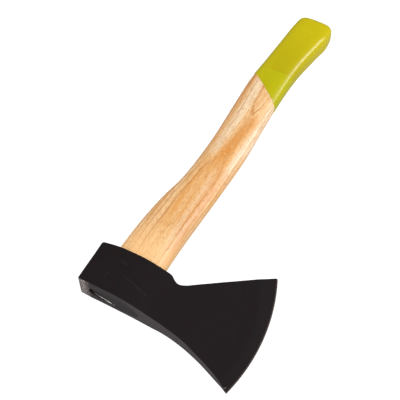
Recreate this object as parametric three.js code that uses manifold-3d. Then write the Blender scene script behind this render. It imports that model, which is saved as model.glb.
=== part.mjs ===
// Hatchet: a forged steel head with a painted finish, wedged on a curved wooden haft whose
// grip end carries a dipped coat.
//
// Millimetres, +Z up. The hatchet lies on its side: +Y runs along the haft towards the grip,
// +X from the poll towards the cutting edge, and the head and the haft share the mid-plane
// that is parallel to XY. Shapes are drawn in the head's own frame, where X is 0 on the poll,
// Y is 0 at the poll corner of the eye-end face and Z is 0 on the mid-plane. The last lines
// move the origin to the centre of the bounding box's bottom.
import * as THREE from 'three';
import { mergeVertices } from 'three/addons/utils/BufferGeometryUtils.js';
import Module from 'manifold-3d';

// ---- driving dimensions, mm -------------------------------------------------------------

const GAP = 0.3; // between two pieces that touch

// Head
const POLL_HEIGHT = 43.3; // along the haft
const CORNER_RADIUS = 1.8; // upright corners of the poll
const CHEEK_THICKNESS = 32.6; // across the eye, the thickest stretch of the head
const POLL_DRAFT = 0.8; // how much thinner each cheek is at the poll
const CHEEK_FLAT = { start: 12, end: 38 }; // X between which the cheeks are parallel
const TOE = new THREE.Vector2(164.4, -18.9);
const HEEL = new THREE.Vector2(150.9, 96.5);
const EDGE_RADIUS = 171; // sweep of the cutting edge
const EDGE_HALF_THICKNESS = 0.2;
const BEVEL_SLOPE = 0.24; // half thickness gained per mm back from the edge

// Hollowed cheeks beyond the flat stretch: X, and the half thickness there.
const CHEEK_STATIONS = [
  [48, 15.5], [58, 13.8], [70, 11.6], [82, 10], [95, 8.6],
  [109, 7.2], [123, 5.6], [138, 4.1], [153, 3], [176, 2.1],
];

// Eye, a flattened oval through the head along the haft
const EYE = { centreX: 36.2, length: 51, width: 18.6, squareness: 2.5 };
const EYE_FLARE = { length: 5, width: 1.2 }; // how much larger the eye is at its eye end
const EYE_DEPTH = 47; // from the eye-end face to the grip side of the head

// Haft
const HAFT_START = 4.6; // the haft's end, recessed in the eye
const HAFT_END = 358; // crown of the grip
const CROWN_START = 349; // where the grip starts to round over into its end
const CROWN_POWER = 3;
const END_TILT = { start: 318, slope: 0.09 }; // the end leans further out on the front side
const CROWN_TIP = 0.22; // share of the section that is left as a flat at the very end
const BODY_START = 38; // the haft's full section starts inside the head's grip side
const TENON_END = 52; // the tenon runs on into the full section up to here
const RING_SPACING = 9;

// Stations along the haft, from the head to the grip's end: Y, the X of the back edge, the X
// of the front edge, the thickness along Z, and the superellipse power of the cross-section.
const HAFT_STATIONS = [
  [40, 12.2, 60.4, 20.5, 2.7],
  [79, 14.2, 60.6, 22, 2.7],
  [113, 18.4, 61.9, 23, 2.7],
  [143, 24.4, 63.2, 23.3, 2.7],
  [189, 26.9, 64.4, 23.5, 2.7],
  [236, 25.5, 62.3, 23.5, 2.8],
  [266, 24.9, 61.3, 24, 3],
  [296, 27.7, 62.2, 25.5, 3.3],
  [327, 30.5, 66.5, 27.2, 3.8],
  [340, 31.6, 69, 27.6, 4.2],
  [352, 33.2, 68.2, 27.2, 4.2],
  [363, 34.4, 66.6, 26.4, 4.2],
];

// Dipped coat: it covers the grip beyond an oblique plane across the haft
const COAT_THICKNESS = 0.8;
const DIP_BACK = new THREE.Vector2(25.2, 273.8); // the lip on the back edge
const DIP_FRONT = new THREE.Vector2(62, 249.8); // the lip on the front edge
const CORE_START = 230; // the thinner core under the coat starts inside the bare wood

// Wedges driven into the haft's end
const KERF = { depth: 32, width: 4.4, widthInside: 1.6 };
const CROSS_WEDGE = { span: 12.4, thickness: 3, tip: 0.8, depth: 20, tilt: 0.35, proud: 0.2 };

// Cutting shapes
const CLEAR = 20; // how far one runs past the piece that it cuts
const REACH = 220; // half the size of one that has to pass the whole hatchet

// Facets
const SIDES = { eye: 40, haft: 32, edge: 180 };

// ---- materials --------------------------------------------------------------------------

const material = (color, roughness, metalness) =>
  new THREE.MeshStandardMaterial({ color, roughness, metalness });

const BLACK_PAINT = material(0x262122, 0.6, 0.2);
const ASH = material(0xeabb80, 0.45, 0);
const WEDGE_WOOD = material(0xb98a55, 0.7, 0);
const WEDGE_STEEL = material(0x77777a, 0.4, 1);
const GREEN_COAT = material(0xc8bc18, 0.25, 0);

// ---- solids -----------------------------------------------------------------------------

const wasm = await Module();
wasm.setup();

function solidFrom(geometry) {
  const bare = geometry.clone();
  bare.deleteAttribute('normal');
  bare.deleteAttribute('uv');
  const merged = mergeVertices(bare, 1e-4);
  return new wasm.Manifold(new wasm.Mesh({
    numProp: 3,
    vertProperties: merged.attributes.position.array,
    triVerts: new Uint32Array(merged.index.array),
  }));
}

function meshFrom(name, solid, finish) {
  const { vertProperties, triVerts } = solid.getMesh();
  const geometry = new THREE.BufferGeometry();
  geometry.setAttribute('position', new THREE.BufferAttribute(vertProperties, 3));
  geometry.setIndex(new THREE.BufferAttribute(triVerts, 1));
  geometry.computeVertexNormals();
  const mesh = new THREE.Mesh(geometry, finish);
  mesh.name = name;
  return mesh;
}

// A closed skin over rings of points, which all turn the same way round.
function loft(rings) {
  const sides = rings[0].length;
  const points = rings.flat();
  const faces = [];
  for (let i = 0; i < rings.length - 1; i++) {
    for (let j = 0; j < sides; j++) {
      const a = i * sides + j;
      const b = i * sides + ((j + 1) % sides);
      faces.push(a, b, b + sides, a, b + sides, a + sides);
    }
  }
  const last = (rings.length - 1) * sides;
  for (let j = 1; j < sides - 1; j++) {
    faces.push(0, j + 1, j);
    faces.push(last, last + j, last + j + 1);
  }
  return new THREE.BufferGeometry().setFromPoints(points).setIndex(faces);
}

// A superellipse across the haft at height y, turning from +X to +Z to -X when seen from -Y.
function ovalRing(y, centreX, halfLength, halfWidth, power, sides) {
  const bulge = (t) => Math.sign(t) * Math.abs(t) ** (2 / power);
  return Array.from({ length: sides }, (_, j) => {
    const turn = (-2 * Math.PI * j) / sides;
    return new THREE.Vector3(
      centreX + halfLength * bulge(Math.cos(turn)),
      y,
      halfWidth * bulge(Math.sin(turn)),
    );
  });
}

// A prism of a flat shape drawn in XY, centred on the mid-plane.
function prism(shape, height, segments = 12) {
  const geometry = new THREE.ExtrudeGeometry(shape, {
    depth: height,
    bevelEnabled: false,
    curveSegments: segments,
  });
  return geometry.translate(0, 0, -height / 2);
}

// ---- head -------------------------------------------------------------------------------

function edgeCentre() {
  const chord = HEEL.clone().sub(TOE);
  const middle = TOE.clone().add(HEEL).multiplyScalar(0.5);
  const inward = new THREE.Vector2(-chord.y, chord.x).normalize();
  const reach = Math.sqrt(EDGE_RADIUS ** 2 - chord.lengthSq() / 4);
  return middle.addScaledVector(inward, reach);
}

// Seen from +Z: the eye-end side, the cutting edge, the beard and notch, the crown, the poll.
function headOutline() {
  const centre = edgeCentre();
  const point = (x, y) => new THREE.Vector2(x, y);
  const angleTo = (p) => Math.atan2(p.y - centre.y, p.x - centre.x);
  const shape = new THREE.Shape();
  shape.moveTo(0, CORNER_RADIUS);
  shape.quadraticCurveTo(0, 0.9, CORNER_RADIUS, 1.1);
  shape.splineThru([
    point(22, 2.1), point(44, 3.2), point(70, 2.6), point(95, 1.7),
    point(122, -3.7), point(152, -13.7), TOE,
  ]);
  shape.absarc(centre.x, centre.y, EDGE_RADIUS, angleTo(TOE), angleTo(HEEL), false);
  shape.quadraticCurveTo(150.1, 98.1, 147.7, 96.2);
  shape.lineTo(89.6, 50.4);
  shape.quadraticCurveTo(80.6, 42.5, 76.2, 44.5);
  shape.quadraticCurveTo(73.3, 45.8, 71.7, 47.2);
  shape.quadraticCurveTo(70.1, 48.5, 66.6, 48.6);
  shape.splineThru([
    point(52, 48.6), point(36, 48.1), point(17, 46.5), point(CORNER_RADIUS, POLL_HEIGHT),
  ]);
  shape.quadraticCurveTo(0, POLL_HEIGHT - 0.4, 0, POLL_HEIGHT - CORNER_RADIUS);
  shape.closePath();
  return shape;
}

// The head seen along the haft: full thickness across the eye, then hollowed cheeks that
// thin towards the bit. The shape is drawn in X and Z.
function cheekProfile() {
  const half = CHEEK_THICKNESS / 2;
  const shape = new THREE.Shape();
  shape.moveTo(-1, half - POLL_DRAFT);
  shape.lineTo(CHEEK_FLAT.start, half);
  shape.lineTo(CHEEK_FLAT.end, half);
  shape.splineThru(CHEEK_STATIONS.map(([x, z]) => new THREE.Vector2(x, z)));
  const upper = shape.getPoints(3);
  const lower = upper.map((p) => new THREE.Vector2(p.x, -p.y));
  return new THREE.Shape([...lower, ...upper.reverse()]);
}

// Two flat cones, base to base, whose rim is the cutting edge.
function bevelCones() {
  const centre = edgeCentre();
  const peak = EDGE_HALF_THICKNESS + EDGE_RADIUS * BEVEL_SLOPE;
  const profile = [
    new THREE.Vector2(0, -peak),
    new THREE.Vector2(EDGE_RADIUS, -EDGE_HALF_THICKNESS),
    new THREE.Vector2(EDGE_RADIUS, EDGE_HALF_THICKNESS),
    new THREE.Vector2(0, peak),
  ];
  const cones = new THREE.LatheGeometry(profile, SIDES.edge);
  return cones.rotateX(Math.PI / 2).translate(centre.x, centre.y, 0);
}

// The oval of the eye, grown all round by `grow`, from one Y to another. It widens a
// little towards the eye end, so that the wedges can lock the haft.
function eyeOval(grow, fromY, toY) {
  const rings = [fromY, toY].map((y) => {
    const depth = y / EYE_DEPTH;
    const halfLength = (EYE.length - EYE_FLARE.length * depth) / 2 + grow;
    const halfWidth = (EYE.width - EYE_FLARE.width * depth) / 2 + grow;
    return ovalRing(y, EYE.centreX, halfLength, halfWidth, EYE.squareness, SIDES.eye);
  });
  return solidFrom(loft(rings));
}

function headBlank() {
  return solidFrom(prism(headOutline(), CHEEK_THICKNESS + CLEAR));
}

function makeHead() {
  const cheeks = solidFrom(prism(cheekProfile(), 2 * REACH, 1).rotateX(Math.PI / 2));
  const blank = headBlank().intersect(cheeks).intersect(solidFrom(bevelCones()));
  return blank.subtract(eyeOval(0, -CLEAR, EYE_DEPTH + CLEAR));
}

// ---- haft -------------------------------------------------------------------------------

// Smooth value of one column of HAFT_STATIONS at a given Y.
function haftColumn(column) {
  const knots = HAFT_STATIONS.map((row) => new THREE.Vector2(row[0], row[column]));
  const samples = new THREE.SplineCurve(knots).getPoints(20 * knots.length);
  return (y) => {
    const next = Math.max(1, samples.findIndex((p) => p.x >= y));
    const [low, high] = [samples[next - 1], samples[next]];
    return low.y + ((high.y - low.y) * (y - low.x)) / (high.x - low.x);
  };
}

const backEdge = haftColumn(1);
const frontEdge = haftColumn(2);
const haftThickness = haftColumn(3);
const haftPower = haftColumn(4);

// The haft's outer skin from one Y up to the crown, shrunk all round by `inset`.
function haftSkin(fromY, inset) {
  const crownEnd = HAFT_END - inset;
  const steps = Math.round((CROWN_START - fromY) / RING_SPACING);
  const levels = [];
  for (let i = 0; i <= steps; i++) {
    levels.push(fromY + ((CROWN_START - fromY) * i) / steps);
  }
  for (const turn of [0.25, 0.45, 0.62, 0.76, 0.87, 0.95]) {
    levels.push(CROWN_START + (crownEnd - CROWN_START) * Math.sin((turn * Math.PI) / 2));
  }
  levels.push(crownEnd);
  const rings = levels.map((y) => {
    const along = Math.max(0, (y - CROWN_START) / (crownEnd - CROWN_START));
    const crown = Math.max(CROWN_TIP, (1 - along ** CROWN_POWER) ** (1 / CROWN_POWER));
    const centre = (backEdge(y) + frontEdge(y)) / 2;
    const halfDepth = ((frontEdge(y) - backEdge(y)) / 2 - inset) * crown;
    const halfThickness = (haftThickness(y) / 2 - inset) * crown;
    const slope = END_TILT.slope * THREE.MathUtils.smoothstep(y, END_TILT.start, CROWN_START);
    const ring = ovalRing(y, centre, halfDepth, halfThickness, haftPower(y), SIDES.haft);
    return ring.map((p) => p.setY(y + slope * (p.x - centre)));
  });
  return solidFrom(loft(rings));
}

// Everything on the grip side of the dip plane, moved towards the head by `shift`.
function dippedSide(shift) {
  const along = DIP_FRONT.clone().sub(DIP_BACK).normalize();
  const towardsGrip = new THREE.Vector2(-along.y, along.x);
  const back = DIP_BACK.clone().addScaledVector(along, -REACH);
  const front = DIP_FRONT.clone().addScaledVector(along, REACH);
  const corners = [
    back.clone().addScaledVector(towardsGrip, -shift),
    front.clone().addScaledVector(towardsGrip, -shift),
    front.clone().addScaledVector(towardsGrip, REACH),
    back.clone().addScaledVector(towardsGrip, REACH),
  ];
  return solidFrom(prism(new THREE.Shape(corners), REACH, 1));
}

// The head's silhouette, raised by the gap, which the haft's shoulder sits on.
function shoulderCutter() {
  return headBlank().add(headBlank().translate([0, GAP, 0]));
}

// A wedge-shaped block that points along +Y: from the haft's end it tapers in thickness down
// to its tip, and `lead` carries its head outwards, past the haft's end.
function wedgeBlock(length, thickness, tip, depth, lead) {
  const shape = new THREE.Shape([
    new THREE.Vector2(-thickness / 2, HAFT_START - lead),
    new THREE.Vector2(thickness / 2, HAFT_START - lead),
    new THREE.Vector2(thickness / 2, HAFT_START),
    new THREE.Vector2(tip / 2, HAFT_START + depth),
    new THREE.Vector2(-tip / 2, HAFT_START + depth),
    new THREE.Vector2(-thickness / 2, HAFT_START),
  ]);
  return prism(shape, length, 1);
}

// The slot sawn along the haft's end, which the wooden wedge spreads. `shrink` makes the
// wedge that fills it.
function kerf(shrink) {
  const { width, widthInside, depth } = KERF;
  const block = wedgeBlock(
    EYE.length + CLEAR, width - 2 * shrink, widthInside - 2 * shrink, depth - shrink, CLEAR,
  );
  return solidFrom(block.rotateY(Math.PI / 2).translate(EYE.centreX, 0, 0));
}

// The steel wedge, driven slantwise across the wooden one; `grow` makes the cut for it.
function crossWedge(grow, lead) {
  const { span, thickness, tip, depth, tilt } = CROSS_WEDGE;
  const block = wedgeBlock(
    span + 2 * grow, thickness + 2 * grow, tip + 2 * grow, depth + grow, lead,
  );
  return solidFrom(block.rotateY(tilt).translate(EYE.centreX, 0, 0));
}

function makeHaft() {
  const shaft = haftSkin(BODY_START, 0).subtract(shoulderCutter());
  const bare = shaft.subtract(dippedSide(GAP));
  const core = haftSkin(CORE_START, COAT_THICKNESS + GAP);
  const tenon = eyeOval(-GAP, HAFT_START, TENON_END);
  return bare.add(core).add(tenon).subtract(kerf(0)).subtract(crossWedge(GAP, CLEAR));
}

function makeCoat() {
  const outside = haftSkin(CORE_START, 0).intersect(dippedSide(0));
  return outside.subtract(haftSkin(CORE_START - CLEAR, COAT_THICKNESS));
}

function makeKerfWedge() {
  const tenon = eyeOval(-2 * GAP, HAFT_START, TENON_END);
  return kerf(GAP).intersect(tenon).subtract(crossWedge(GAP, CLEAR));
}

function makeCrossWedge() {
  return crossWedge(0, CROSS_WEDGE.proud);
}

// ---- assembly ---------------------------------------------------------------------------

const hatchet = new THREE.Group();
hatchet.add(
  meshFrom('axe_head', makeHead(), BLACK_PAINT),
  meshFrom('haft', makeHaft(), ASH),
  meshFrom('dip_coat', makeCoat(), GREEN_COAT),
  meshFrom('wood_wedge', makeKerfWedge(), WEDGE_WOOD),
  meshFrom('steel_wedge', makeCrossWedge(), WEDGE_STEEL),
);

const box = new THREE.Box3().setFromObject(hatchet);
const centre = box.getCenter(new THREE.Vector3());
hatchet.position.set(-centre.x, -centre.y, -box.min.z);

export default hatchet;
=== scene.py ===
import math
from contextlib import contextmanager

import bmesh
import bpy
import numpy as np
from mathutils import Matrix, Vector, noise


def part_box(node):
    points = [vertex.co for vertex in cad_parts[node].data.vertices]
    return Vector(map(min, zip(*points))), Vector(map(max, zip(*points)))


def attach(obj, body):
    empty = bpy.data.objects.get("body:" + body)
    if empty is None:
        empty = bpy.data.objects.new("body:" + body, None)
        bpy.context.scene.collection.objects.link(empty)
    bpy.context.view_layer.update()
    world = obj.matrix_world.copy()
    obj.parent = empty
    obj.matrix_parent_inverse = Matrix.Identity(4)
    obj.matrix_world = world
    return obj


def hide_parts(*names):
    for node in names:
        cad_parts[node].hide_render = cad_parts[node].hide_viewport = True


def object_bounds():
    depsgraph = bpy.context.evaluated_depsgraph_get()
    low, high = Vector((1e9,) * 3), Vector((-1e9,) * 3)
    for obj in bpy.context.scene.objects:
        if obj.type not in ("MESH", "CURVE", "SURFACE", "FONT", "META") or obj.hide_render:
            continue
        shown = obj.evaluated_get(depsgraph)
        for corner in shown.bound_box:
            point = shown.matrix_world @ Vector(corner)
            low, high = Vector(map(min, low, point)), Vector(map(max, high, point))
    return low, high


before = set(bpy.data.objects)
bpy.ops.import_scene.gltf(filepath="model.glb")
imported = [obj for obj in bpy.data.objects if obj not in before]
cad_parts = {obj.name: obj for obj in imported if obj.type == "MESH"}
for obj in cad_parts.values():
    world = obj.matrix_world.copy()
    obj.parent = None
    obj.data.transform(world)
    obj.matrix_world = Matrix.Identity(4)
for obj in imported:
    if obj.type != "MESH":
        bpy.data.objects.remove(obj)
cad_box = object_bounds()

# The hatchet lies on its side. Shapes are worked out in the head's own frame, in mm: X from the
# poll towards the cutting edge, Y along the haft towards the grip, Z up from the mid-plane.
# ORIGIN is where that frame's zero lies in the model, in metres.

MM = 0.001
TOE = (164.4, -18.9)
HEEL = (150.9, 96.5)
HEAD_LOW, HEAD_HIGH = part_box("axe_head")
ORIGIN = Vector((
    HEAD_LOW[0],
    cad_box[0][1] - TOE[1] * MM,
    (HEAD_LOW[2] + HEAD_HIGH[2]) / 2,
))

# The cutting edge is an arc from toe to heel. Its centre lies behind the middle of the chord.
EDGE_RADIUS = 171
CHORD = np.subtract(HEEL, TOE)
HALF_CHORD = np.linalg.norm(CHORD) / 2
OUTWARD = np.array((CHORD[1], -CHORD[0])) / (2 * HALF_CHORD)
CENTRE_DEPTH = math.sqrt(EDGE_RADIUS**2 - HALF_CHORD**2)
EDGE_CENTRE = np.add(TOE, HEEL) / 2 - OUTWARD * CENTRE_DEPTH

# ---- camera, floor and lights -----------------------------------------------------------------

LOOK_AT = (53.9, 122.9, 16.3)
CAMERA_DISTANCE = 1094.8
CAMERA_AZIMUTH, CAMERA_ELEVATION = 30.81, 63
SENSOR_WIDTH, LENS = 36, 108
CLIP_END = 20  # metres
LIGHTS_AIM = (70, 150, 0)
FLOOR_HALF, FLOOR_DROP = 4.0, 0.0001  # metres
FLOOR_GLOW, WORLD_GLOW = 0.96, 0.28
FLOOR_GREY = (0.25, 0.25, 0.25, 1)
WHITE = (1, 1, 1, 1)


def place(point):
    """A point of the head's frame, in mm, as a point of the model, in metres."""
    return ORIGIN + Vector(point) * MM


def towards(azimuth, elevation):
    """The direction from the hatchet to a camera or light at these angles, in degrees."""
    azimuth, elevation = math.radians(azimuth), math.radians(elevation)
    return Vector((
        math.sin(azimuth) * math.cos(elevation),
        -math.cos(azimuth) * math.cos(elevation),
        math.sin(elevation),
    ))


def add_aimed(name, data, location, away):
    """Adds a camera or a light that looks against the direction away."""
    aimed = bpy.data.objects.new(name, data)
    bpy.context.collection.objects.link(aimed)
    aimed.location = location
    aimed.rotation_mode = "QUATERNION"
    aimed.rotation_quaternion = (-away).to_track_quat("-Z", "Y")
    return aimed


def add_camera():
    data = bpy.data.cameras.new("camera")
    data.sensor_width = SENSOR_WIDTH
    data.lens = LENS
    data.clip_end = CLIP_END
    back = towards(CAMERA_AZIMUTH, CAMERA_ELEVATION)
    location = place(LOOK_AT) + back * CAMERA_DISTANCE * MM
    bpy.context.scene.camera = add_aimed("camera", data, location, back)


def add_softbox(name, azimuth, elevation, distance, size, power):
    """A rectangular light at a distance in metres from LIGHTS_AIM."""
    data = bpy.data.lights.new(name, "AREA")
    data.shape = "RECTANGLE"
    data.size, data.size_y = size
    data.energy = power
    away = towards(azimuth, elevation)
    add_aimed(name, data, place(LIGHTS_AIM) + away * distance, away)


def add_floor():
    """A white floor that gives off light, so that hardly any shadow shows on it."""
    data = bpy.data.meshes.new("floor")
    turns = ((-1, -1), (1, -1), (1, 1), (-1, 1))
    corners = [(FLOOR_HALF * x, FLOOR_HALF * y, 0) for x, y in turns]
    data.from_pydata(corners, [], [(0, 1, 2, 3)])
    floor = bpy.data.objects.new("floor", data)
    floor.location.z = cad_box[0][2] - FLOOR_DROP
    bpy.context.collection.objects.link(floor)
    material = bpy.data.materials.new("floor_white")
    material.use_nodes = True
    shader = material.node_tree.nodes["Principled BSDF"]
    shader.inputs["Base Color"].default_value = FLOOR_GREY
    shader.inputs["Roughness"].default_value = 0.9
    shader.inputs["Specular IOR Level"].default_value = 0.1
    shader.inputs["Emission Color"].default_value = WHITE
    shader.inputs["Emission Strength"].default_value = FLOOR_GLOW
    data.materials.append(material)
    # Its reflection would whiten the rims of the haft.
    floor.visible_glossy = False


def set_world():
    world = bpy.data.worlds.new("studio")
    world.use_nodes = True
    background = world.node_tree.nodes["Background"]
    background.inputs["Color"].default_value = WHITE
    background.inputs["Strength"].default_value = WORLD_GLOW
    bpy.context.scene.world = world
    bpy.context.scene.view_settings.view_transform = "Standard"


add_camera()
add_floor()
set_world()
add_softbox("key", azimuth=-35, elevation=62, distance=1.6, size=(0.9, 0.9), power=14)
add_softbox("strip", azimuth=121, elevation=41, distance=1.3, size=(0.2, 1.0), power=12)

# ---- curves and ramps -------------------------------------------------------------------------


def catmull(points, count=400):
    """Points along a uniform Catmull-Rom curve through the given ones."""
    p = np.array(points, float)
    t = np.linspace(0, len(p) - 1, count)
    i = np.minimum(t.astype(int), len(p) - 2)
    w = (t - i)[:, None]
    before, start = p[np.maximum(i - 1, 0)], p[i]
    stop, after = p[i + 1], p[np.minimum(i + 2, len(p) - 1)]
    leave, arrive = (stop - before) / 2, (after - start) / 2
    return (
        (2 * start - 2 * stop + leave + arrive) * w**3
        + (-3 * start + 3 * stop - 2 * leave - arrive) * w**2
        + leave * w
        + start
    )


def quadratic(start, control, stop, count=14):
    """Points along a quadratic Bezier curve."""
    t = np.linspace(0, 1, count)[:, None]
    start, control, stop = map(np.array, (start, control, stop))
    return (1 - t) ** 2 * start + 2 * t * (1 - t) * control + t**2 * stop


def ramp(value, start, stop):
    """Straight from 0 at start to 1 at stop, and level beyond them."""
    return np.clip((value - start) / (stop - start), 0, 1)


# ---- meshes -----------------------------------------------------------------------------------

SAME_POINT = 1e-6  # metres


@contextmanager
def editing(data):
    """A bmesh of the mesh data, written back at the end."""
    mesh = bmesh.new()
    mesh.from_mesh(data)
    yield mesh
    mesh.to_mesh(data)
    mesh.free()


def grid_faces(rows, columns, closed=False, start=0):
    """Quads over a grid of vertices stored row by row."""
    faces = []
    for i in range(rows - 1):
        for j in range(columns if closed else columns - 1):
            a = start + i * columns + j
            b = start + i * columns + (j + 1) % columns
            faces.append((a, b, b + columns, a + columns))
    return faces


def capped_faces(rings):
    """Faces of a tube through rings of equally many points, with a cap on each end."""
    sides = len(rings[0])
    last = (len(rings) - 1) * sides
    caps = [tuple(range(sides))[::-1], tuple(range(last, last + sides))]
    return grid_faces(len(rings), sides, closed=True) + caps


def new_object(name, points, faces):
    """A mesh object from points in mm of the head's frame, with its faces turned outwards."""
    data = bpy.data.meshes.new(name)
    places = np.array(points, float) * MM + np.array(ORIGIN)
    data.from_pydata(places.tolist(), [], faces)
    with editing(data) as mesh:
        bmesh.ops.remove_doubles(mesh, verts=mesh.verts, dist=SAME_POINT)
        bmesh.ops.recalc_face_normals(mesh, faces=mesh.faces)
    made = bpy.data.objects.new(name, data)
    bpy.context.collection.objects.link(made)
    return made


def smooth(data, sharp):
    """Smooth shading, apart from edges sharper than an angle in degrees."""
    data.polygons.foreach_set("use_smooth", [True] * len(data.polygons))
    data.set_sharp_from_angle(angle=math.radians(sharp))
    data.update()


def make_piece(name, points, faces, material, sharp):
    """A finished piece that rides on the hatchet."""
    piece = new_object(name, points, faces)
    smooth(piece.data, sharp)
    piece.data.materials.append(material)
    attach(piece, "root")
    return piece


def closed_loft(name, rings, material, sharp):
    return make_piece(name, np.vstack(rings), capped_faces(rings), material, sharp)


# ---- tools for materials ----------------------------------------------------------------------


def srgb(red, green, blue):
    """A colour given as 0 to 255 screen values, as linear light."""
    def linear(value):
        return ((value / 255 + 0.055) / 1.055) ** 2.4 if value > 10 else value / 3294.6
    return (linear(red), linear(green), linear(blue), 1)


class Look:
    """A node material, with short names for the nodes that it is built from."""

    def __init__(self, name):
        self.material = bpy.data.materials.new(name)
        self.material.use_nodes = True
        self.tree = self.material.node_tree
        self.shader = self.tree.nodes["Principled BSDF"]

    def add(self, kind, **settings):
        node = self.tree.nodes.new("ShaderNode" + kind)
        for key, value in settings.items():
            setattr(node, key, value)
        return node

    def plug(self, socket, value):
        if isinstance(value, bpy.types.NodeSocket):
            self.tree.links.new(value, socket)
        else:
            socket.default_value = value

    def math(self, operation, *values, clamp=False):
        node = self.add("Math", operation=operation, use_clamp=clamp)
        for socket, value in zip(node.inputs, values):
            self.plug(socket, value)
        return node.outputs[0]

    def times(self, first, second):
        return self.math("MULTIPLY", first, second)

    def plus(self, first, second, clamp=False):
        return self.math("ADD", first, second, clamp=clamp)

    def minus(self, first, second):
        return self.math("SUBTRACT", first, second)

    def apart(self, first, second):
        """How far two values lie from each other."""
        return self.math("ABSOLUTE", self.minus(first, second))

    def greater(self, first, second):
        return self.math("MAXIMUM", first, second)

    def hypotenuse(self, first, second):
        squares = self.plus(self.times(first, first), self.times(second, second))
        return self.math("SQRT", squares)

    def mm(self):
        """X, Y and Z of the head's frame in mm, as three sockets, and all three as a vector."""
        place = self.add("TexCoord").outputs["Object"]
        shift = self.add("VectorMath", operation="SUBTRACT")
        self.plug(shift.inputs[0], place)
        shift.inputs[1].default_value = ORIGIN
        scale = self.add("VectorMath", operation="SCALE")
        self.plug(scale.inputs[0], shift.outputs[0])
        scale.inputs["Scale"].default_value = 1 / MM
        parts = self.add("SeparateXYZ")
        self.plug(parts.inputs[0], scale.outputs[0])
        return (*parts.outputs, scale.outputs[0])

    def stretch(self, vector, factors):
        node = self.add("VectorMath", operation="MULTIPLY")
        self.plug(node.inputs[0], vector)
        node.inputs[1].default_value = factors
        return node.outputs[0]

    def noise(self, vector, scale=1.0, detail=3.0, roughness=0.5):
        node = self.add("TexNoise")
        self.plug(node.inputs["Vector"], vector)
        node.inputs["Scale"].default_value = scale
        node.inputs["Detail"].default_value = detail
        node.inputs["Roughness"].default_value = roughness
        return node.outputs["Fac"]

    def cells(self, vector):
        """Distance to the nearest of randomly strewn points, one to each unit cube."""
        node = self.add("TexVoronoi")
        self.plug(node.inputs["Vector"], vector)
        node.inputs["Scale"].default_value = 1.0
        return node.outputs["Distance"]

    def remap(self, value, low, high, to_low=0.0, to_high=1.0, kind="SMOOTHSTEP"):
        """Eases from to_low, where the value is low, to to_high, where it is high."""
        node = self.add("MapRange", interpolation_type=kind)
        for key, setting in zip(("Value", "From Min", "From Max", "To Min", "To Max"),
                                (value, low, high, to_low, to_high)):
            self.plug(node.inputs[key], setting)
        return node.outputs[0]

    def between(self, value, rise, full, fade, gone):
        """Eases from 0 at rise to 1 at full, and from 1 at fade back to 0 at gone."""
        return self.times(self.remap(value, rise, full), self.remap(value, gone, fade))

    def curve(self, value, knots):
        """A smooth function of a value, through knots (value, result), level beyond them."""
        low, high = knots[0][0], knots[-1][0]
        bottom = min(y for _, y in knots)
        top = max(y for _, y in knots)
        node = self.add("FloatCurve")
        curve = node.mapping.curves[0]
        for index, (x, y) in enumerate(knots):
            at = ((x - low) / (high - low), (y - bottom) / (top - bottom))
            if index < 2:
                curve.points[index].location = at
            else:
                curve.points.new(*at)
        node.mapping.update()
        self.plug(node.inputs["Value"], self.remap(value, low, high, kind="LINEAR"))
        return self.remap(node.outputs[0], 0, 1, bottom, top, kind="LINEAR")

    def mix(self, factor, first, second):
        node = self.add("Mix", data_type="RGBA")
        self.plug(node.inputs[0], factor)
        self.plug(node.inputs[6], first)
        self.plug(node.inputs[7], second)
        return node.outputs[2]

    def bump(self, height, strength, distance, below=None):
        """Relief of a height in mm, over the relief below it."""
        node = self.add("Bump")
        self.plug(node.inputs["Height"], height)
        node.inputs["Strength"].default_value = strength
        node.inputs["Distance"].default_value = distance * MM
        if below is not None:
            self.plug(node.inputs["Normal"], below)
        return node.outputs[0]

    def finish(self, **sockets):
        for name, value in sockets.items():
            self.plug(self.shader.inputs[name.replace("_", " ")], value)
        return self.material


# ---- lacquered ash ----------------------------------------------------------------------------

PALE_WOOD, WARM_WOOD = srgb(243, 206, 154), srgb(228, 166, 94)
BAND_WOOD = srgb(246, 226, 194)
BACK_WOOD = srgb(238, 166, 92)
VEIN_WOOD = srgb(182, 104, 44)
LATE_WOOD, LINE_WOOD = srgb(210, 138, 64), srgb(178, 102, 36)
# Painted shade for the front ridge, toning down its highlight.
RIDGE_SHADE_WOOD = srgb(214, 146, 80)
STAINED_WOOD = srgb(216, 138, 48)
FIBRE_WOOD = srgb(206, 138, 70)
DARK_FLECK, PALE_FLECK = srgb(206, 138, 72), srgb(252, 226, 184)
# Painted light for the wood by the head, offsetting the head's shade.
HEAD_PAINTED_LIGHT_WOOD = srgb(255, 204, 142)
PORE = srgb(142, 84, 38)

FIRST_RING, RING_WIDTH = 34.1, 3.5  # mm from the pith, and mm
VEIN_X = 28.4


def grain_drift(look, place_mm):
    """How far the grain wanders sideways, in mm."""
    drift = look.noise(look.stretch(place_mm, (0.045, 0.018, 0.05)), detail=3)
    return look.times(look.minus(drift, 0.5), 3.2)


def growth_rings(look, x, y, z, place_mm, drift):
    """Rings as cylinders about a pith above the near face, whose distance changes along the haft,
    so that they run out on that face as long arches. Gives each point's distance across from the
    pith, and how far through its ring it lies, from 0 to 1."""
    pith_x = look.curve(y, [(0, 43), (90, 43.5), (150, 46.5), (200, 50), (260, 50.5), (360, 54)])
    pith_z = look.curve(y, [
        (0, 41.2), (64, 41.4), (105, 42.4), (149, 42.95), (160, 43.6), (171, 44.8), (200, 45.1),
        (222, 45.2), (245, 44.6), (290, 43.8), (360, 43),
    ])
    across = look.minus(x, look.plus(pith_x, drift))
    radius = look.hypotenuse(across, look.minus(pith_z, z))
    ripple = look.noise(look.stretch(place_mm, (0.5, 0.035, 0.5)), detail=3)
    radius = look.plus(radius, look.times(ripple, 0.7))
    rings = look.math("DIVIDE", look.minus(radius, FIRST_RING), RING_WIDTH)
    return across, look.math("FRACT", rings)


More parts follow.
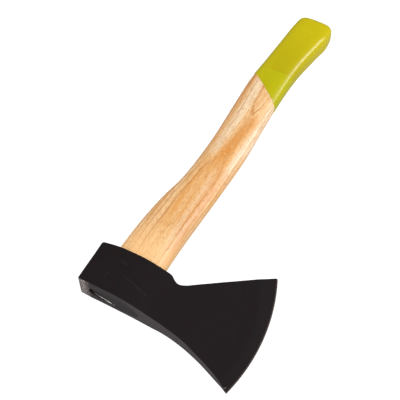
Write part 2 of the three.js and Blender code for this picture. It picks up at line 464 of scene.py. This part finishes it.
def wood_tone(look, x, y, across, streak):
    """The wood before its rings: warm in the heart of the lower half, with pale bands either side
    of the stain and below it, and orange along the back beyond the bend."""
    warm_along = look.curve(y, [
        (40, 0.55), (62, 0.3), (90, 0.6), (130, 0.85), (170, 0.8), (200, 0.35), (250, 0.2), (300, 0.4),
    ])
    warm = look.times(warm_along, look.remap(across, -16, -7, 0.4, 1.0))
    warm = look.times(warm, look.remap(across, 15, 11, 0.45, 1.0))
    warm = look.plus(warm, look.remap(streak, 0.3, 0.7, -0.3, 0.3), clamp=True)
    colour = look.mix(warm, PALE_WOOD, WARM_WOOD)
    ragged = look.plus(x, look.times(look.minus(streak, 0.5), 9))
    back_band = look.curve(y, [(160, 34), (185, 38), (215, 38.5), (262, 35.5)])
    front_band = look.curve(y, [(140, 61), (170, 59.5), (200, 61), (230, 61.5), (262, 57)])
    pale = 0.0
    for band, first, full, half_width, share in (
        (back_band, 164, 186, 6, 0.75),
        (front_band, 142, 180, 5.5, 0.75),
        (50.5, 172, 140, 5.5, 0.4),
    ):
        away = look.apart(ragged, band)
        stripe = look.remap(away, half_width, half_width * 0.3, 0.0, share)
        pale = look.greater(look.times(stripe, look.remap(y, first, full)), pale)
    colour = look.mix(pale, colour, BAND_WOOD)
    back = look.times(look.remap(ragged, 35, 30), look.remap(y, 160, 185))
    return look.mix(look.times(back, 0.4), colour, BACK_WOOD)


def draw_vein(look, colour, x, y, z, drift):
    """One thin dark line along the back of the near face, beyond the bend."""
    off = look.apart(look.plus(x, look.times(drift, 0.4)), VEIN_X)
    vein = look.times(look.remap(off, 0.8, 0.3), look.remap(y, 158, 175))
    vein = look.times(vein, look.remap(z, 1, 4, 0.0, 0.6))
    return look.mix(vein, colour, VEIN_WOOD)


def draw_rings(look, colour, y, across, ring):
    """Late wood, which darkens towards the end of each ring, and the thin line that closes it."""
    late = look.between(ring, 0.35, 0.95, 0.965, 1.0)
    late = look.times(late, look.remap(y, 150, 182, 0.4, 0.12))
    colour = look.mix(late, colour, LATE_WOOD)
    # Where the rings run out flat, the line takes up less of them, so that it stays thin.
    start = look.remap(look.math("ABSOLUTE", across), 3, 12, 0.92, 0.84)
    line = look.between(ring, start, look.plus(start, 0.05), 0.97, 1.0)
    strength = look.curve(y, [
        (40, 0.75), (146, 0.75), (174, 0.3), (210, 0.25), (226, 0.7), (262, 0.7),
    ])
    return look.mix(look.times(line, strength), colour, LINE_WOOD)


def draw_ridge_shade(look, colour, x, y):
    """Painted shade: the front ridge of the lower half is painted warmer and darker, to tone down the
    strip light's highlight there.
    """
    ridge = look.between(x, 52, 56, 57.5, 60.5)
    ridge = look.times(ridge, look.remap(y, 162, 138, 0.0, 0.6))
    return look.mix(ridge, colour, RIDGE_SHADE_WOOD)


def draw_stain(look, colour, x, y, z, fleck):
    """A mineral stain where the rings run out flat, broken up along the fibres."""
    middle = look.curve(y, [
        (160, 45.5), (172, 46.7), (186, 48.7), (200, 50.7), (215, 52.3), (245, 55),
    ])
    frayed = look.plus(look.apart(x, middle), look.times(fleck, 13.0))
    stretch = look.times(look.between(y, 166, 182, 220, 236), look.remap(z, 0, 5))
    stain = look.times(look.remap(frayed, 13.5, 8.0), stretch)
    return look.mix(look.times(stain, 0.68), colour, STAINED_WOOD)


def open_pores(look, place_mm, ring):
    """Fine dashes along the fibres, mostly in the early wood at the start of each ring."""
    dashes = look.cells(look.stretch(place_mm, (1.0, 0.22, 1.0)))
    early = look.remap(ring, 0.55, 0.05)
    return look.times(look.remap(dashes, 0.36, 0.16), look.plus(look.times(early, 0.6), 0.4))


def wood_look():
    """Pale ash under a clear satin lacquer."""
    look = Look("lacquered_ash")
    x, y, z, place_mm = look.mm()
    drift = grain_drift(look, place_mm)
    across, ring = growth_rings(look, x, y, z, place_mm, drift)
    pores = open_pores(look, place_mm, ring)
    fibre = look.noise(look.stretch(place_mm, (1.5, 0.045, 1.5)), detail=4, roughness=0.65)
    streak = look.noise(look.stretch(place_mm, (0.3, 0.012, 0.3)), detail=2)
    fleck = look.noise(look.stretch(place_mm, (0.9, 0.22, 0.9)), detail=4, roughness=0.75)
    colour = wood_tone(look, x, y, across, streak)
    colour = draw_vein(look, colour, x, y, z, drift)
    colour = draw_rings(look, colour, y, across, ring)
    colour = draw_ridge_shade(look, colour, x, y)
    colour = draw_stain(look, colour, x, y, z, fleck)
    colour = look.mix(look.remap(fibre, 0.45, 0.65, 0.0, 0.45), colour, FIBRE_WOOD)
    colour = look.mix(look.remap(fleck, 0.5, 0.64, 0.0, 0.5), colour, DARK_FLECK)
    colour = look.mix(look.remap(fleck, 0.46, 0.32, 0.0, 0.36), colour, PALE_FLECK)
    # Painted light: the wood is painted lighter towards the head, to offset the shade that the head
    # casts on it.
    colour = look.mix(look.remap(y, 92, 50, 0.0, 0.65), colour, HEAD_PAINTED_LIGHT_WOOD)
    colour = look.mix(look.times(pores, 0.5), colour, PORE)
    return look.finish(Base_Color=colour, Roughness=0.42, Normal=look.bump(pores, 0.25, -0.05),
                       Specular_IOR_Level=0.35, Coat_Weight=0.15, Coat_Roughness=0.2)


# ---- dip on the grip end ----------------------------------------------------------------------

ONE_DIP = srgb(180, 176, 4), srgb(174, 170, 4)
TWO_DIPS = srgb(178, 166, 4), srgb(194, 180, 6)
DIP_LINE = srgb(160, 148, 8)
DIP_MOTTLE = srgb(206, 172, 14)
# Painted light for the back of the dip.
DIP_BACK_PAINTED_LIGHT = srgb(206, 192, 12)


def second_dip_line(look, x):
    """Height along the haft of the second dip's edge, across the near face."""
    return look.curve(x, [(20, 284), (26, 283.6), (40, 283), (50, 284), (58, 286), (76, 290)])


def coat_look():
    """Glossy dip, applied twice: the second dip ends part way along the first."""
    look = Look("green_dip")
    x, y, _, place_mm = look.mm()
    sag = look.noise(look.stretch(place_mm, (0.12, 0.05, 0.12)), detail=2)
    tone = look.noise(look.stretch(place_mm, (0.05, 0.04, 0.05)), detail=1)
    mottle = look.noise(look.stretch(place_mm, (0.4, 0.25, 0.4)), detail=3)
    once = look.mix(look.remap(tone, 0.35, 0.65), *ONE_DIP)
    twice = look.mix(look.remap(y, 284, 350), *TWO_DIPS)
    past_line = look.minus(y, second_dip_line(look, x))
    colour = look.mix(look.remap(past_line, -0.8, 0.8), once, twice)
    edge = look.between(past_line, -0.3, 0.5, 0.6, 1.6)
    colour = look.mix(look.times(edge, 0.3), colour, DIP_LINE)
    colour = look.mix(look.remap(mottle, 0.4, 0.7, 0.0, 0.2), colour, DIP_MOTTLE)
    # Painted light: the back of the dip is painted a lighter yellow, as if lit from that side.
    colour = look.mix(look.remap(x, 42, 31, 0.0, 0.5), colour, DIP_BACK_PAINTED_LIGHT)
    return look.finish(Base_Color=colour, Roughness=0.24, Normal=look.bump(sag, 0.3, 0.4),
                       Specular_IOR_Level=0.3)


# ---- black paint and lacquer ------------------------------------------------------------------

PAINT_DARK = srgb(23, 15, 17), srgb(20, 16, 17)
PAINT_LIGHT = srgb(30, 21, 23), srgb(27, 23, 24)
# Painted light on the eye-end face.
EYE_FACE_PAINTED_LIGHT = srgb(64, 59, 60), srgb(74, 68, 71)
WORN_PAINT, WORN_DOT = srgb(127, 116, 114), srgb(210, 200, 196)
SCRATCHED_PAINT = srgb(92, 86, 84)
RUBBED_EDGE = srgb(84, 72, 68)
NICKED_PAINT = srgb(120, 116, 116)
LACQUER_TONES = srgb(42, 38, 39), srgb(58, 53, 54)
# Painted glint along the lower wall of the eye.
PAINTED_GLINT = srgb(226, 222, 220)

# Rubbed marks on the near cheek across the eye, and a nick at the toe: start, stop, half width.
SCRATCHES = (
    ((34, 23), (46, 22), 1.0),
    ((43, 22.5), (63, 18), 1.2),
    ((41, 32), (45, 29.5), 1.0),
    ((18, 14), (22, 21), 1.2),
    ((24, 36), (33, 34), 1.6),
)
NICK = ((159.6, -16.8), (162.6, -13.2), 1.1)
STROKE_FADE = 3


def stroke(look, x, y, start, stop, half_width):
    """1 on a straight stroke between two points of the head's plan, easing to 0 round it."""
    length = math.dist(start, stop)
    ux, uy = (stop[0] - start[0]) / length, (stop[1] - start[1]) / length
    dx = look.minus(x, start[0])
    dy = look.minus(y, start[1])
    along = look.plus(look.times(dx, ux), look.times(dy, uy))
    aside = look.minus(look.times(dy, ux), look.times(dx, uy))
    near = look.remap(look.math("ABSOLUTE", aside), half_width, half_width * 0.3)
    return look.times(near, look.between(along, 0, STROKE_FADE, length - STROKE_FADE, length))


def draw_eye_face(look, colour, x, y, place_mm, grit, speck):
    """The eye-end face is painted a lighter grey than the cheeks, lighter still towards the bit:
    painted light, for the light that falls on that face. By the poll it is worn and dotted.
    """
    side = look.curve(x, [(-2, 0.9), (22, 2.1), (44, 3.2), (95, 1.7), (122, -3.4), (166, -19.9)])
    face = look.remap(look.minus(y, side), 1.3, 0.4)
    by_poll = look.times(face, look.remap(look.plus(x, look.times(grit, 8)), 17, 9))
    worn = look.times(by_poll, look.remap(speck, 0.36, 0.64, 0.3, 1.0))
    dots = look.remap(look.noise(place_mm, scale=0.6, detail=2), 0.52, 0.64, 0.0, 0.8)
    colour = look.mix(face, colour, look.mix(look.remap(x, 36, 62), *EYE_FACE_PAINTED_LIGHT))
    colour = look.mix(worn, colour, WORN_PAINT)
    return look.mix(look.times(by_poll, dots), colour, WORN_DOT)


def draw_scratches(look, colour, x, y, z, speck):
    marks = 0.0
    for scratch in SCRATCHES:
        marks = look.greater(stroke(look, x, y, *scratch), marks)
    marks = look.times(marks, look.remap(z, 8, 12))
    marks = look.times(marks, look.remap(speck, 0.35, 0.6))
    return look.mix(look.times(marks, 0.09), colour, SCRATCHED_PAINT)


def draw_edge(look, colour, x, y, speck):
    """The cutting edge is rubbed brownish, and its toe is nicked."""
    dx = look.minus(x, float(EDGE_CENTRE[0]))
    dy = look.minus(y, float(EDGE_CENTRE[1]))
    rubbed = look.remap(look.hypotenuse(dx, dy), EDGE_RADIUS - 1.8, EDGE_RADIUS - 0.5)
    rubbed = look.times(rubbed, look.remap(speck, 0.3, 0.6, 0.3, 1.0))
    colour = look.mix(look.times(rubbed, 0.8), colour, RUBBED_EDGE)
    return look.mix(look.times(stroke(look, x, y, *NICK), 0.5), colour, NICKED_PAINT)


def black_look():
    """Matte black paint over forged steel."""
    look = Look("black_paint")
    x, y, z, place_mm = look.mm()
    grit = look.noise(place_mm, scale=1.3, detail=5, roughness=0.65)
    speck = look.noise(place_mm, scale=0.9, detail=4, roughness=0.7)
    forge = look.noise(place_mm, scale=0.12, detail=3)
    patch = look.remap(look.noise(place_mm, scale=0.15, detail=4, roughness=0.6), 0.35, 0.65)
    dark, light = look.mix(patch, *PAINT_DARK), look.mix(patch, *PAINT_LIGHT)
    colour = look.mix(look.remap(grit, 0.3, 0.75), dark, light)
    colour = draw_eye_face(look, colour, x, y, place_mm, grit, speck)
    colour = draw_scratches(look, colour, x, y, z, speck)
    colour = draw_edge(look, colour, x, y, speck)
    relief = look.bump(grit, 0.3, 0.12, below=look.bump(forge, 0.35, 0.6))
    rough = look.plus(0.5, look.times(grit, 0.2))
    return look.finish(Base_Color=colour, Roughness=rough, Normal=relief, Specular_IOR_Level=0.1)


def end_look():
    """Black lacquer pooled over the haft's end: smoother than the paint on the forging."""
    look = Look("end_lacquer")
    x, _, z, place_mm = look.mm()
    drag = look.noise(look.stretch(place_mm, (0.35, 0.35, 1.1)), detail=4)
    colour = look.mix(look.remap(drag, 0.35, 0.7), *LACQUER_TONES)
    # Painted glints: bright dashes painted along the lower wall of the eye, where the pooled lacquer
    # catches the light.
    glint_dashes = look.noise(look.stretch(place_mm, (0.75, 0.2, 0.75)), detail=4, roughness=0.7)
    wall = look.curve(x, [(10, 2.8), (13, 4.4), (16, 6.1), (24, 7.5), (36, 7.9), (62, 8)])
    glint = look.times(look.remap(look.plus(z, wall), 0.5, -0.1), look.remap(glint_dashes, 0.44, 0.56))
    glint = look.times(glint, look.between(x, 12, 15, 32, 38))
    colour = look.mix(glint, colour, PAINTED_GLINT)
    return look.finish(Base_Color=colour, Roughness=look.remap(drag, 0.3, 0.7, 0.4, 0.55),
                       Normal=look.bump(drag, 0.35, 0.3), Specular_IOR_Level=0.12)


# ---- steel of the hidden wedge ----------------------------------------------------------------

STEEL_TONES = srgb(90, 90, 92), srgb(140, 140, 142)


def steel_look():
    look = Look("wedge_steel")
    *_, place_mm = look.mm()
    brushed = look.noise(look.stretch(place_mm, (0.4, 3.0, 0.4)), detail=3)
    colour = look.mix(brushed, *STEEL_TONES)
    return look.finish(Base_Color=colour, Metallic=1.0, Roughness=0.4,
                       Normal=look.bump(brushed, 0.2, 0.05))


WOOD = wood_look()
COAT = coat_look()
BLACK = black_look()
LACQUER = end_look()
STEEL = steel_look()

# ---- head -------------------------------------------------------------------------------------

EDGE_HALF_THICKNESS = 0.15
BEVEL_SLOPE, BEVEL_BLEND = 0.24, 0.25
ARRIS = 0.8  # rounding of the head's long edges
POLL_CORNER = 2.2
HALF_CHEEK, POLL_DRAFT = 16.3, 0.8
WAVE_HEIGHT, DENT_HEIGHT = 0.16, 0.05
SKIN_DEPTH = 0.12  # by which the uneven skin is set back
CALM_REACH = 12  # from the cutting edge, over which the unevenness grows

# The rows and columns of the head's skin lie close together along its arrises, in mm, and the
# rims all have as many levels, so that they meet point for point.
ARRIS_STEPS = np.array([0, 0.06, 0.16, 0.3, 0.48, 0.7, 0.95, 1.25, 1.6, 2.2])
MIDDLE_COLUMNS = 84
BODY_ROWS, BIT_ROWS, BIT_START = 130, 40, 0.93
RIM_LEVELS = 15

EYE_SIDE = catmull([
    (-2, 0.9), (1.8, 1.1), (22, 2.1), (44, 3.2), (70, 2.6), (95, 1.7), (122, -3.7), (152, -13.7), TOE,
])
GRIP_SIDE = np.vstack([
    catmull([(-2, 42.9), (1.8, 43.3), (17, 46.5), (36, 48.1), (52, 48.6), (66.6, 48.6)], 80),
    quadratic((66.6, 48.6), (70.1, 48.5), (71.7, 47.2)),
    quadratic((71.7, 47.2), (73.3, 45.8), (76.2, 44.5)),
    quadratic((76.2, 44.5), (80.6, 42.5), (89.6, 50.4)),
    quadratic((147.7, 96.2), (150.1, 98.1), HEEL),
])
# X, and half the thickness of the head there before it is bevelled.
CHEEK = np.vstack([
    [(-1, HALF_CHEEK - POLL_DRAFT), (12, HALF_CHEEK), (38, HALF_CHEEK)],
    catmull([
        (38, HALF_CHEEK), (48, 15.5), (58, 13.8), (70, 11.6), (82, 10), (95, 8.6),
        (109, 7.2), (123, 5.6), (138, 4.1), (153, 3), (176, 2.1),
    ])[1:],
])


def column_shares(length):
    """Shares of the way across the head, from its eye-end side to its grip side."""
    near = ARRIS_STEPS / length
    middle = np.linspace(near[-1], 1 - near[-1], MIDDLE_COLUMNS)[1:-1]
    return np.concatenate([near, middle, 1 - near[::-1]])


def head_plan(s):
    """A row of points across the head's plan, with their distances from its eye-end and grip
    sides. s runs from the poll, 0, to the cutting edge, 1."""
    toe_point = np.array((TOE[0] * s, np.interp(TOE[0] * s, *EYE_SIDE.T)))
    heel_point = np.array((HEEL[0] * s, np.interp(HEEL[0] * s, *GRIP_SIDE.T)))
    length = np.linalg.norm(heel_point - toe_point)
    share = column_shares(length)
    points = toe_point + (heel_point - toe_point) * share[:, None]
    # The rows bow out more and more, until the last one is the arc of the cutting edge.
    bow = np.sqrt(EDGE_RADIUS**2 - (HALF_CHORD * (2 * share - 1)) ** 2) - CENTRE_DEPTH
    points = points + OUTWARD * (bow * s**3)[:, None]
    return points, share * length, (1 - share) * length


def half_thickness(points):
    """The cheek's profile or the bevel, whichever is thinner, blended where they cross."""
    flat = np.interp(points[:, 0], *CHEEK.T)
    radius = np.hypot(points[:, 0] - EDGE_CENTRE[0], points[:, 1] - EDGE_CENTRE[1])
    bevel = EDGE_HALF_THICKNESS + np.maximum(EDGE_RADIUS - radius, 0) * BEVEL_SLOPE
    soft = BEVEL_BLEND * np.clip(EDGE_RADIUS - radius, 0, 1)
    return (flat + bevel - np.sqrt((flat - bevel) ** 2 + soft**2)) / 2


def rounded_corner(points, from_poll, from_side, side):
    """Pulls the poll's upright corners in on an arc. side is 1 where the side lies at -Y."""
    a = POLL_CORNER - from_poll
    b = POLL_CORNER - from_side
    inside = (a > 0) & (b > 0)
    scale = np.where(inside, np.maximum(a, b) / np.hypot(a, b + 1e-9), 1)
    points[:, 0] += np.where(inside, a - a * scale, 0)
    points[:, 1] += np.where(inside, side * (b - b * scale), 0)


def head_surface():
    """The head's upper skin, as rows of points from the poll to the cutting edge."""
    near_poll = ARRIS_STEPS / TOE[0]
    body = np.linspace(near_poll[-1], BIT_START, BODY_ROWS)[1:]
    bit = np.linspace(BIT_START, 1, BIT_ROWS)[1:]
    rows = []
    for s in np.concatenate([near_poll, body, bit]):
        points, from_eye, from_grip = head_plan(s)
        from_poll = points[:, 0].copy()
        rounded_corner(points, from_poll, from_eye, 1)
        rounded_corner(points, from_poll, from_grip, -1)
        height = half_thickness(points)
        distance = np.minimum(np.minimum(from_eye, from_grip), from_poll)
        arris = np.minimum(ARRIS, height * 0.5)
        sunk = np.maximum(arris - distance, 0)
        height = height - (arris - np.sqrt(np.maximum(arris**2 - sunk**2, 0)))
        rows.append(np.column_stack([points, height]))
    return np.array(rows)


def unevenness(point):
    """Slight hammer-forged waviness of the head's skin, in mm."""
    at = Vector(point) * 0.06
    return WAVE_HEIGHT * noise.noise(at) + DENT_HEIGHT * noise.noise(at * 4.3)


def roughen(piece):
    with editing(piece.data) as mesh:
        for vertex in mesh.verts:
            local = (vertex.co - ORIGIN) / MM
            from_edge = EDGE_RADIUS - math.hypot(local.x - EDGE_CENTRE[0], local.y - EDGE_CENTRE[1])
            calm = min(max(from_edge / CALM_REACH, 0), 1)
            vertex.co += vertex.normal * (unevenness(local) - SKIN_DEPTH) * calm * MM


def make_head():
    top = head_surface()
    rows, cols = top.shape[:2]
    bottom = top * (1, 1, -1)
    points = [*top.reshape(-1, 3), *bottom.reshape(-1, 3)]
    faces = grid_faces(rows, cols) + grid_faces(rows, cols, start=rows * cols)
    for rim in (top[:, 0], top[:, -1], top[0, :], top[-1, :]):
        start = len(points)
        for level in np.linspace(1, -1, RIM_LEVELS):
            points.extend(rim * (1, 1, level))
        faces += grid_faces(RIM_LEVELS, len(rim), start=start)
    head = make_piece("axe_head_forged", points, faces, BLACK, sharp=32)
    roughen(head)
    cut_eye(head)
    drop_folds(head)
    smooth(head.data, 32)
    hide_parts("axe_head")


# ---- eye --------------------------------------------------------------------------------------

# The eye narrows by EYE_NARROWS in length and width over its depth.
EYE_CENTRE, EYE_LENGTH, EYE_WIDTH, EYE_POWER = 36.2, 51, 18.6, 2.5
EYE_NARROWS = (5, 1.2)
EYE_DEPTH = 47
# Y along the eye, and how far it widens there towards its broken rim.
EYE_RIM = ((-12, 0.7), (0.8, 0.5), (1.6, 0.3), (2.6, 0.12), (3.4, 0), (44, 0), (60, 0))
EYE_SIDES, HAFT_SIDES = 96, 120
WELD = 3e-6  # metres


def bulge(t, power):
    return np.sign(t) * np.abs(t) ** (2 / power)


def oval(centre, half_length, half_width, power, sides):
    """X and Z of points round a superellipse, which gets squarer with its power."""
    turn = -2 * np.pi * np.arange(sides) / sides
    x = centre + half_length * bulge(np.cos(turn), power)
    return x, half_width * bulge(np.sin(turn), power)


def eye_ring(y, grow, sides=HAFT_SIDES):
    """A ring round the eye at Y, grown outwards in mm."""
    depth = np.mean(y) / EYE_DEPTH
    x, z = oval(
        EYE_CENTRE,
        (EYE_LENGTH - EYE_NARROWS[0] * depth) / 2 + grow,
        (EYE_WIDTH - EYE_NARROWS[1] * depth) / 2 + grow,
        EYE_POWER,
        sides,
    )
    return np.column_stack([x, np.broadcast_to(y, x.shape), z])


def cut_eye(head):
    """Cuts the eye, with its rim broken, out of the forging."""
    rings = [eye_ring(y, grow, EYE_SIDES) for y, grow in EYE_RIM]
    cutter = new_object("eye_cutter", np.vstack(rings), capped_faces(rings))
    boolean = head.modifiers.new("eye", "BOOLEAN")
    boolean.operation = "DIFFERENCE"
    boolean.solver = "EXACT"
    boolean.object = cutter
    evaluated = head.evaluated_get(bpy.context.evaluated_depsgraph_get())
    cut = bpy.data.meshes.new_from_object(evaluated)
    head.modifiers.clear()
    head.data = cut
    bpy.data.objects.remove(cutter)


def drop_folds(piece):
    """Welds the cut's slivers and drops the pairs of faces that lie folded on each other."""
    with editing(piece.data) as mesh:
        bmesh.ops.remove_doubles(mesh, verts=mesh.verts, dist=WELD)
        bmesh.ops.dissolve_degenerate(mesh, edges=mesh.edges, dist=WELD)
        bmesh.ops.triangulate(mesh, faces=[face for face in mesh.faces if len(face.verts) > 4])
        twins = {}
        for face in mesh.faces:
            twins.setdefault(frozenset(vertex.index for vertex in face.verts), []).append(face)
        folded = [face for group in twins.values() if len(group) > 1 for face in group]
        bmesh.ops.delete(mesh, geom=folded, context="FACES")


make_head()

# ---- lacquer over the haft's end --------------------------------------------------------------

HAFT_START = 4.6
WEDGE_TILT = 0.35  # radians, of the steel wedge across the wooden one
WEDGE_REACH = 6
RING_SHARES = (1.0, 0.985, 0.96, 0.93, 0.89, 0.84, 0.78, 0.7, 0.6, 0.5, 0.4, 0.3, 0.2, 0.1)
LACQUER_GAP = 0.04  # to the wall of the eye


def lacquer_surface(x, z):
    """Y of the lacquer's skin: flush towards the bit, sunk towards the poll and the lower wall,
    and raised where the two wedges stand under it."""
    face = np.interp(x, *EYE_SIDE.T)
    sunk = np.interp(x, (10, 20, 28, 38, 46), (2.5, 2.2, 1.6, 0.5, 0.1))
    lower = np.interp(z, (-5, 5), (1, 0.5))
    along, across = x - EYE_CENTRE, z
    slant = along * math.sin(WEDGE_TILT) + across * math.cos(WEDGE_TILT)
    reach = along * math.cos(WEDGE_TILT) - across * math.sin(WEDGE_TILT)
    over_wood = 0.12 * np.exp(-((across / 1.6) ** 2))
    over_steel = 0.15 * np.exp(-((slant / 1.4) ** 4)) * (np.abs(reach) < WEDGE_REACH)
    return face + sunk * lower - (over_wood + over_steel) * np.minimum(sunk, 1)


def lacquer_lip(share, x, z):
    """How far the lacquer's lumpy lip stands out where it meets the lower wall of the eye."""
    lumps = np.array([noise.noise(Vector((px * 0.9, 3.7, pz * 0.9))) for px, pz in zip(x, z)])
    low_wall = ramp(z, -3, -6) * ramp(x, 12, 16) * ramp(x, 38, 33)
    return ramp(share, 0.86, 0.96) * low_wall * (0.5 + 0.6 * lumps)


def make_end_lacquer():
    rings = [eye_ring(HAFT_START + 0.5, -0.32), eye_ring(HAFT_START, -LACQUER_GAP)]
    rim = eye_ring(HAFT_START - 0.4, -LACQUER_GAP)
    for share in RING_SHARES:
        x = EYE_CENTRE + (rim[:, 0] - EYE_CENTRE) * share
        z = rim[:, 2] * share
        y = lacquer_surface(x, z) - lacquer_lip(share, x, z)
        rings.append(np.column_stack([x, y, z]))
    closed_loft("end_lacquer", rings, LACQUER, sharp=60)


make_end_lacquer()

# ---- haft -------------------------------------------------------------------------------------

HAFT_END = 358
CROWN_START, CROWN_POWER, CROWN_RINGS = 349, 3, 13
END_TILT_START, END_TILT = 318, 0.09
EYE_GAP, TENON_CHAMFER = 0.3, 0.6
SHOULDER_GAP, SHOULDER_ROUND = 0.25, 0.6
WOOD_INSET = 0.1  # of the wood's skin inside the stations below
HAFT_RINGS = 240

# Y, the X of the back and front edges, the thickness along Z, and the section's power.
HAFT_STATIONS = np.array([
    (40, 12.2, 60.4, 20.5, 2.7),
    (79, 14.2, 60.6, 22, 2.7),
    (113, 18.4, 61.9, 23, 2.7),
    (143, 24.4, 63.2, 23.3, 2.7),
    (189, 26.9, 64.4, 23.5, 2.7),
    (236, 25.5, 62.3, 23.5, 2.8),
    (266, 24.9, 61.3, 24, 3),
    (296, 27.7, 62.2, 25.5, 3.3),
    (327, 30.5, 66.5, 27.2, 3.8),
    (340, 31.6, 69, 27.6, 4.2),
    (352, 33.2, 68.2, 27.2, 4.2),
    (363, 34.4, 66.6, 26.4, 4.2),
])
HAFT_CURVE = catmull(HAFT_STATIONS, 1200)


def haft_ring(y, inset):
    """One ring of the haft's skin, at heights y along it, which may differ round the ring."""
    y = np.broadcast_to(np.asarray(y, float), (HAFT_SIDES,))
    back, front, thick, power = (np.interp(y, HAFT_CURVE[:, 0], HAFT_CURVE[:, k]) for k in range(1, 5))
    along = ramp(y, CROWN_START, HAFT_END - inset)
    crown = np.maximum(1 - along**CROWN_POWER, 0) ** (1 / CROWN_POWER)
    unit_x, unit_z = oval(0, 1, 1, power, HAFT_SIDES)
    from_middle = ((front - back) / 2 - inset) * crown * unit_x
    lean = ramp(y, END_TILT_START, CROWN_START)
    leaning_y = y + END_TILT * lean**2 * (3 - 2 * lean) * from_middle
    x = (back + front) / 2 + from_middle
    return np.column_stack([x, leaning_y, (thick / 2 - inset) * crown * unit_z])


def crown_heights(inset):
    """Heights of the rings that round off the end of the grip, closer and closer together."""
    end = HAFT_END - inset
    turns = np.sin(np.linspace(0, 1, CROWN_RINGS + 2)[1:-1] * np.pi / 2)
    return [*(CROWN_START + (end - CROWN_START) * turns), end - 0.02]


def ring_heights(target, first):
    """Heights round a ring where the skin meets the surface y = target(x)."""
    y = np.full(HAFT_SIDES, float(first))
    for _ in range(6):
        y = target(haft_ring(y, 0)[:, 0])
    return y


def shoulder_height(x):
    """Where the haft's shoulder starts, just clear of the head's grip side."""
    return np.interp(x, *GRIP_SIDE.T) + SHOULDER_GAP


def make_haft():
    shoulder = ring_heights(shoulder_height, 46)
    rings = [
        eye_ring(HAFT_START, -EYE_GAP - TENON_CHAMFER),
        eye_ring(HAFT_START + TENON_CHAMFER, -EYE_GAP),
    ]
    rings += [eye_ring(y, -EYE_GAP) for y in (15, 30, 42, shoulder)]
    for inset, rise in ((0.9, 0.0), (0.45, 0.1), (0.2, 0.3), (WOOD_INSET, SHOULDER_ROUND)):
        rings.append(haft_ring(shoulder + rise, inset))
    start = shoulder + SHOULDER_ROUND
    for t in np.linspace(0, 1, HAFT_RINGS + 1)[1:]:
        rings.append(haft_ring(start + (CROWN_START - start) * t, WOOD_INSET))
    rings += [haft_ring(y, WOOD_INSET) for y in crown_heights(WOOD_INSET)]
    haft = closed_loft("haft_wood", rings, WOOD, sharp=50)
    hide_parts("haft")


make_haft()

# ---- dipped coat ------------------------------------------------------------------------------

# X and Y of the coat's upper edge, at the back and the front of the haft.
DIP_BACK = (25.2, 273.8)
DIP_FRONT = (62, 249.8)
COAT_IN, COAT_OUT = 0.08, -0.22  # insets of its two skins
# The lip's outer skin swells out over LIP_HEIGHT.
LIP = ((0.05, 0.0), (0.2, 0.1), (0.45, 0.18), (0.8, 0.22))
LIP_HEIGHT = LIP[-1][0]
OUTER_RINGS, INNER_RINGS = 120, 59


def dip_height(x):
    slope = (DIP_FRONT[1] - DIP_BACK[1]) / (DIP_FRONT[0] - DIP_BACK[0])
    return DIP_BACK[1] + (x - DIP_BACK[0]) * slope


def make_coat():
    """Two skins, one inside the other, closed at the crown and joined round the lip."""
    lip = ring_heights(dip_height, 260)
    outer = [haft_ring(lip, COAT_IN)]
    outer += [haft_ring(lip + rise, -out) for rise, out in LIP]
    start = lip + LIP_HEIGHT
    for t in np.linspace(0, 1, OUTER_RINGS + 1)[1:]:
        outer.append(haft_ring(start + (CROWN_START - start) * t, COAT_OUT))
    outer += [haft_ring(y, COAT_OUT) for y in crown_heights(COAT_OUT)]
    inner = [haft_ring(y, COAT_IN) for y in crown_heights(COAT_IN)[::-1]]
    for t in np.linspace(1, 0, INNER_RINGS + 1)[:-1]:
        inner.append(haft_ring(lip + (CROWN_START - lip) * t, COAT_IN))

    inner_start = len(outer) * HAFT_SIDES
    outer_end = inner_start - HAFT_SIDES
    inner_end = inner_start + (len(inner) - 1) * HAFT_SIDES
    faces = grid_faces(len(outer), HAFT_SIDES, closed=True)
    faces += grid_faces(len(inner), HAFT_SIDES, closed=True, start=inner_start)
    faces += [tuple(range(first, first + HAFT_SIDES)) for first in (outer_end, inner_start)]
    for j in range(HAFT_SIDES):
        k = (j + 1) % HAFT_SIDES
        faces.append((inner_end + j, inner_end + k, k, j))
    coat = make_piece("grip_coat", np.vstack(outer + inner), faces, COAT, sharp=50)
    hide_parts("dip_coat")


make_coat()

# ---- carried-over wedges ----------------------------------------------------------------------


def dress(node, material):
    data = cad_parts[node].data
    data.materials.clear()
    data.materials.append(material)


dress("wood_wedge", WOOD)
dress("steel_wedge", STEEL)
